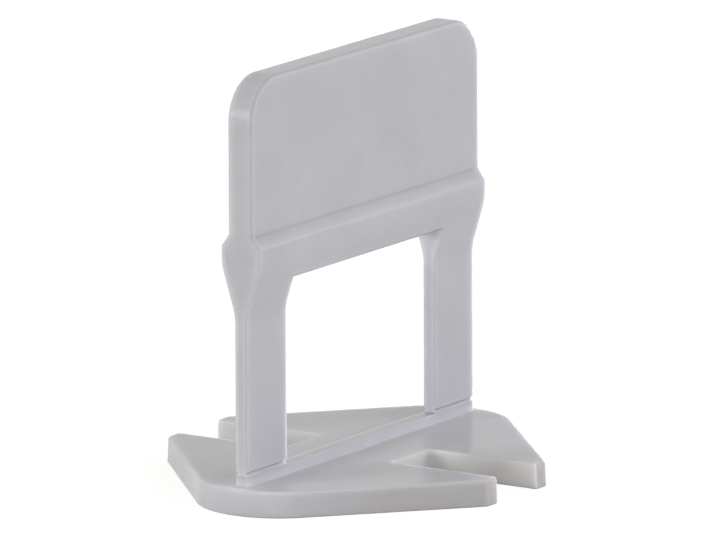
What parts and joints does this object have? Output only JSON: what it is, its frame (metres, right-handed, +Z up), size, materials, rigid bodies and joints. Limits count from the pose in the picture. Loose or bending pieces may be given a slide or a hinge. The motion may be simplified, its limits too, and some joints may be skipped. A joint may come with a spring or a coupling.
{
  "type": "tile levelling clip",
  "caption": "Plastic tile levelling clip: slotted base plate, strap with a wedge window and a break-off notch, and a rounded head plate.",
  "frame": {"origin": "centre of the underside of the base, under the middle of the strap", "axes": "+X along the strap, +Y across the strap towards a slotted tip, +Z up to the head"},
  "size_m": [0.0442, 0.0382, 0.0436],
  "materials": {
    "polypropylene": "natural milky polypropylene, satin"
  },
  "bodies": {
    "root": {"clip": "polypropylene"}
  },
  "joints": []
}
